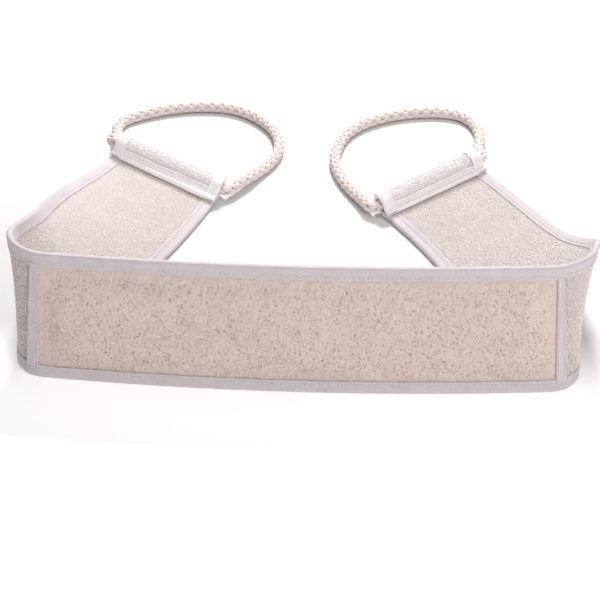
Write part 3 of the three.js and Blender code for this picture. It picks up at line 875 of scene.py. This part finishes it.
def stitches(place, start, end, across, level, along_p=True):
    """A row of stitches from start to end. Across is its other flat coordinate, and level its height."""
    pitch = STITCH_LENGTH + STITCH_GAP
    count = int((end - start) / pitch)
    first = start + (end - start - count * pitch + STITCH_GAP) / 2 + np.arange(count)[:, None] * pitch
    along = first + np.array([0, 0.12, 0.4, 0.6, 0.88, 1]) * STITCH_LENGTH
    sink = np.array([-0.5, -0.05, 0.12, 0.12, -0.05, -0.5])
    radius = STITCH_RADIUS * np.array([0.7, 1, 1.1, 1.1, 1, 0.7]) + 0 * along
    other = np.full_like(along, across)
    p, v = (along, other) if along_p else (other, along)
    m = level(p) + np.sign(level(p)) * sink
    return worms(place, p, v, m, radius, 5)


def gathered(rows):
    """Several rows as one mesh."""
    points, groups, first = [], [], 0
    for row_points, row_groups, _ in rows:
        points.append(row_points)
        groups += [faces + first for faces in row_groups]
        first += len(row_points)
    return np.vstack(points), groups


def binding_stitching(name, up, side):
    """The stitches on both sides of one binding, up to the hem."""
    line = up * (EDGE - TAPE_FACE + TAPE_STITCH)
    stop = HEM_START - HEM_FLAT / 2
    face = LAYER - 0.1
    outer = stitches(partial(laid, side), 0, stop, line, lambda p: over_loofah(face + 0 * p, p))
    inner = stitches(partial(laid, side), 0, stop, line, lambda p: -face + 0 * p)
    points, groups = gathered([outer, inner])
    piece = make_piece(f"{name}_stitching_{side}", points, groups, THREAD, "thread")
    bend_at_corner(piece, side, f"{name}_stitching_{side}", f"{name}_stitching_centre")
    return piece


RIDGE_HEIGHT, RIDGE_AT, RIDGE_WIDTH = 0.75, 0.86, 0.13  # the last two as shares of the tape's half width
CROWN = 0.25
STITCH_RISE = 0.45  # the stitches lie this far up on the tape's crown
TURNED_DOWN = 0.35  # at its very edges


def cross_tape(side):
    """The tape over one raw end of the loofah. Its two edges are turned under, so they stand up as ridges."""
    p = steps_between(CROSS_FROM, CROSS_TO, 0.45)
    v = steps_between(-INSIDE - UNDER_BINDING, INSIDE + UNDER_BINDING, STITCH_LENGTH / 2)
    low = LOOFAH_MARGIN + GAP
    middle = (CROSS_FROM + CROSS_TO) / 2
    half = (CROSS_TO - CROSS_FROM) / 2
    across = np.abs(p - middle) / half
    ridge = RIDGE_HEIGHT * np.exp(-(((across - RIDGE_AT) / RIDGE_WIDTH) ** 2))
    crown = ridge + CROWN * (1 - across**4)
    outer = flat_grid(p, v, low + TAPE_THICK + crown[:, None] - TURNED_DOWN * (across[:, None] > 0.98))
    inner = flat_grid(p, v, low)
    flat, groups = plate(outer, inner)
    piece = make_piece(f"{side}_cross_tape", laid(side, flat), groups, TAPE, "tape", PLATE_CREASE, flat=flat)
    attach(piece, "front")
    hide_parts(f"{side}_cross_tape")
    return piece


def stitches_across(side, p, level):
    """A row of stitches from binding to binding, as points and faces."""
    row = stitches(partial(laid, side), -INSIDE, INSIDE, p, lambda at: level + 0 * at, along_p=False)
    return row[:2]


def cross_stitching(side, where, p):
    points, groups = stitches_across(side, p, LOOFAH_MARGIN + GAP + TAPE_THICK + STITCH_RISE)
    piece = make_piece(f"{side}_cross_stitching_{where}", points, groups, THREAD, "thread")
    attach(piece, "front")
    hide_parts(f"{side}_cross_stitching_{where}")
    return piece


HEM_WAVE, HEM_WAVE_LENGTH = 0.15, 5.1
HEM_LEG_POINTS = 11


def hem_tape(side):
    """The tape folded over a tail's raw end, on the flap of the hem."""
    level = LAYER - TAPE_THICK / 2
    leg = np.linspace(STRIP_END - HEM_TAPE_FACE, STRIP_END, HEM_LEG_POINTS)
    bend = np.linspace(0, math.pi, 9)[1:-1]
    p = np.concatenate([leg, STRIP_END + level * 0.45 * np.sin(bend), leg[::-1]])
    straight = np.full(HEM_LEG_POINTS, level)
    m = np.concatenate([straight, level * np.cos(bend), -straight])
    out = half_thickness(p, m)
    v = steps_between(-INSIDE - UNDER_BINDING, INSIDE + UNDER_BINDING, 1.3)[:, None]
    wave = HEM_WAVE * np.sin(v / HEM_WAVE_LENGTH)
    layers = [
        np.stack([p + way * out[:, 0] + wave, v + 0 * p, m + way * out[:, 1] + 0 * v], -1) for way in (1, -1)
    ]
    flat, groups = plate(*layers)
    # The whole hem tape gets the painted light that turns it nearly white.
    fields = {"flat": flat, "pale": np.ones(flat.size // 3)}
    piece = make_piece(f"{side}_hem_tape", laid(side, flat), groups, TAPE, "tape", PLATE_CREASE, **fields)
    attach(piece, f"{side}_tail")
    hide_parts(f"{side}_hem_tape")
    return piece


def hem_stitching(side, where):
    points, groups = stitches_across(side, STRIP_END - HEM_STITCHES[where], LAYER)
    piece = make_piece(f"{side}_hem_stitching_{where}", points, groups, THREAD, "thread")
    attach(piece, f"{side}_tail")
    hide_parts(f"{side}_hem_stitching_{where}")
    return piece


# ---------------------------------------------------------------- loofah

LOOFAH_STEP = 0.5
PIT_SPACING = 2.2
LUMPS = ((7, 0.32), (2.4, 0.22), (1.1, 0.2))  # how wide and how high, from coarse to fine
FULL_RELIEF = 4  # the relief is whole where the panel has risen by one part in this
FIBRES = {"count": 6000, "length": (3, 7), "radius": (0.16, 0.28)}
VEINS = {"count": 420, "length": (9, 16), "radius": (0.25, 0.38)}
FIBRE_TONE = 1.6  # past 1, the panel's tones lighten
DEEPEST = 1.1  # pits this deep have the darkest painted shade


def loofah_rise(p, v):
    """How far the panel's outer side stands from the strap's middle layer, before its relief."""
    side = smooth((TERRY_EDGE - TAPE_FACE - np.abs(v)) / LOOFAH_SHOULDER)
    end = smooth((LOOFAH_THIN_FROM - np.abs(p)) / LOOFAH_SHOULDER)
    return side * end


def value_noise(rng, p, v, size):
    """Smooth random values from -1 to 1, with bumps about one size across."""
    x, y = p / size, v / size
    low_x, low_y = math.floor(x.min()), math.floor(y.min())
    table = rng.uniform(-1, 1, (math.ceil(x.max()) - low_x + 2, math.ceil(y.max()) - low_y + 2))
    i, j = np.floor(x).astype(int), np.floor(y).astype(int)
    a, b = smooth(x - i), smooth(y - j)
    i, j = i - low_x, j - low_y
    low = table[i, j] * (1 - a) + table[i + 1, j] * a
    high = table[i, j + 1] * (1 - a) + table[i + 1, j + 1] * a
    return low * (1 - b) + high * b


def loofah_relief(p, v):
    """Lumps, and the pits of the pressed net. p and v are the lines of a grid."""
    rng = np.random.default_rng(5)
    pp, vv = np.meshgrid(p, v, indexing="ij")
    relief = sum(height * value_noise(rng, pp, vv, size) for size, height in LUMPS)
    pits_p, pits_v = scattered(rng, -LOOFAH_HALF, LOOFAH_HALF, TERRY_EDGE, PIT_SPACING)
    depth = rng.uniform(0.2, 1.3, len(pits_p)) ** 1.5
    width = rng.uniform(0.36, 0.58, len(pits_p))
    for at_p, at_v, deep, wide in zip(pits_p, pits_v, depth, width):
        i, j = np.searchsorted(p, at_p), np.searchsorted(v, at_v)
        near = (slice(max(i - 4, 0), i + 4), slice(max(j - 4, 0), j + 4))
        away = (pp[near] - at_p) ** 2 + (vv[near] - at_v) ** 2
        relief[near] -= deep * np.exp(-away / wide**2)
    return relief


def loofah_height(p, v, relief):
    """Heights of the panel's outer side on the grid of lines p and v."""
    pp, vv = np.meshgrid(p, v, indexing="ij")
    room = loofah_rise(pp, vv)
    return LOOFAH_MARGIN + (LOOFAH_THICK - LOOFAH_EDGE) * room + relief * np.minimum(1, FULL_RELIEF * room)


def loofah_fibres(rng, p, v, height, count, length, radius):
    """Loose fibres that lie over the panel, a little curved, with their ends sunk in it."""
    start_p = rng.uniform(p[0] + 6, p[-1] - 6, (count, 1))
    start_v = rng.uniform(-INSIDE, INSIDE, (count, 1))
    angle = math.pi / 2 + rng.normal(0, 0.75, (count, 1))
    curl = rng.normal(0, 0.09, (count, 1))
    reach = rng.uniform(*length, (count, 1)) * np.linspace(-0.5, 0.5, 7)
    path_p = start_p + reach * np.cos(angle + curl * reach)
    path_v = np.clip(start_v + reach * np.sin(angle + curl * reach), -INSIDE, INSIDE)
    i = np.clip(np.searchsorted(p, path_p), 0, len(p) - 1)
    j = np.clip(np.searchsorted(v, path_v), 0, len(v) - 1)
    sunk = np.array([-0.7, -0.1, 0.12, 0.18, 0.12, -0.1, -0.7])
    middle = (height[i, j] + height[i, j].mean(1, keepdims=True)) / 2
    level = middle + sunk * rng.uniform(0.5, 1.3, (count, 1))
    thick = rng.uniform(*radius, (count, 1)) * np.array([0.6, 0.9, 1, 1, 1, 0.9, 0.6])
    return worms(laid_on_front, path_p, path_v, level, thick)


def panel_faces(rows, columns):
    """Faces of a closed pad: its top is a grid, and its back has only two points in each row of the grid."""
    index = np.arange(rows * columns).reshape(rows, columns)
    low = rows * columns + 2 * np.arange(rows)
    high = low + 1
    return [
        grid_faces(rows, columns),
        np.stack([low[:-1], low[1:], high[1:], high[:-1]], -1),
        np.stack([index[:-1, 0], index[1:, 0], low[1:], low[:-1]], -1),
        np.stack([index[:-1, -1], high[:-1], high[1:], index[1:, -1]], -1),
        np.concatenate([index[0], [high[0], low[0]]])[None, ::-1],
        np.concatenate([index[-1], [high[-1], low[-1]]])[None],
    ]


def loofah_panel():
    p = steps_between(-LOOFAH_HALF, LOOFAH_HALF, LOOFAH_STEP)
    v = steps_between(-TERRY_EDGE, TERRY_EDGE, LOOFAH_STEP)
    relief = loofah_relief(p, v)
    height = loofah_height(p, v, relief)
    rows = len(p)
    back = np.stack([np.repeat(p, 2), np.tile([v[0], v[-1]], rows), np.full(2 * rows, LOOFAH_BACK)], -1)
    flat = np.vstack([flat_grid(p, v, height).reshape(-1, 3), back])
    # Painted shade level: lower and darker the deeper the relief, while the back stays at 1.
    depth = np.concatenate([smooth(relief.ravel() + DEEPEST), np.ones(2 * rows)])
    faces = panel_faces(*height.shape)
    piece = make_piece("loofah_panel", laid_on_front(flat), faces, LOOFAH, "loofah", pile=depth)
    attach(piece, "front")
    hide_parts("loofah_panel")
    add_fibres(p, v, height)


def add_fibres(p, v, height):
    rng = np.random.default_rng(8)
    points, groups = gathered([loofah_fibres(rng, p, v, height, **kind) for kind in (FIBRES, VEINS)])
    tone = np.full(len(points), FIBRE_TONE)
    fibres = make_piece("loofah_fibres", points, groups, LOOFAH, "loofah", pile=tone)
    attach(fibres, "front")
    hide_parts("loofah_panel")


# ---------------------------------------------------------------- everything


def strap_side(side):
    ground = terry_ground(side)
    on_it = [terry_pile(side), hem_tape(side)]
    for name, up in (("top", 1), ("bottom", -1)):
        on_it += [binding(name, up, side), binding_stitching(name, up, side)]
    on_it += [hem_stitching(side, where) for where in HEM_STITCHES]
    cross_tape(side)
    cross_stitching(side, "inner", CROSS_FROM + CROSS_STITCH)
    cross_stitching(side, "outer", CROSS_TO - CROSS_STITCH)


add_camera()
handles()
add_lights()
add_table()
for side in SIDES:
    strap_side(side)
loofah_panel()
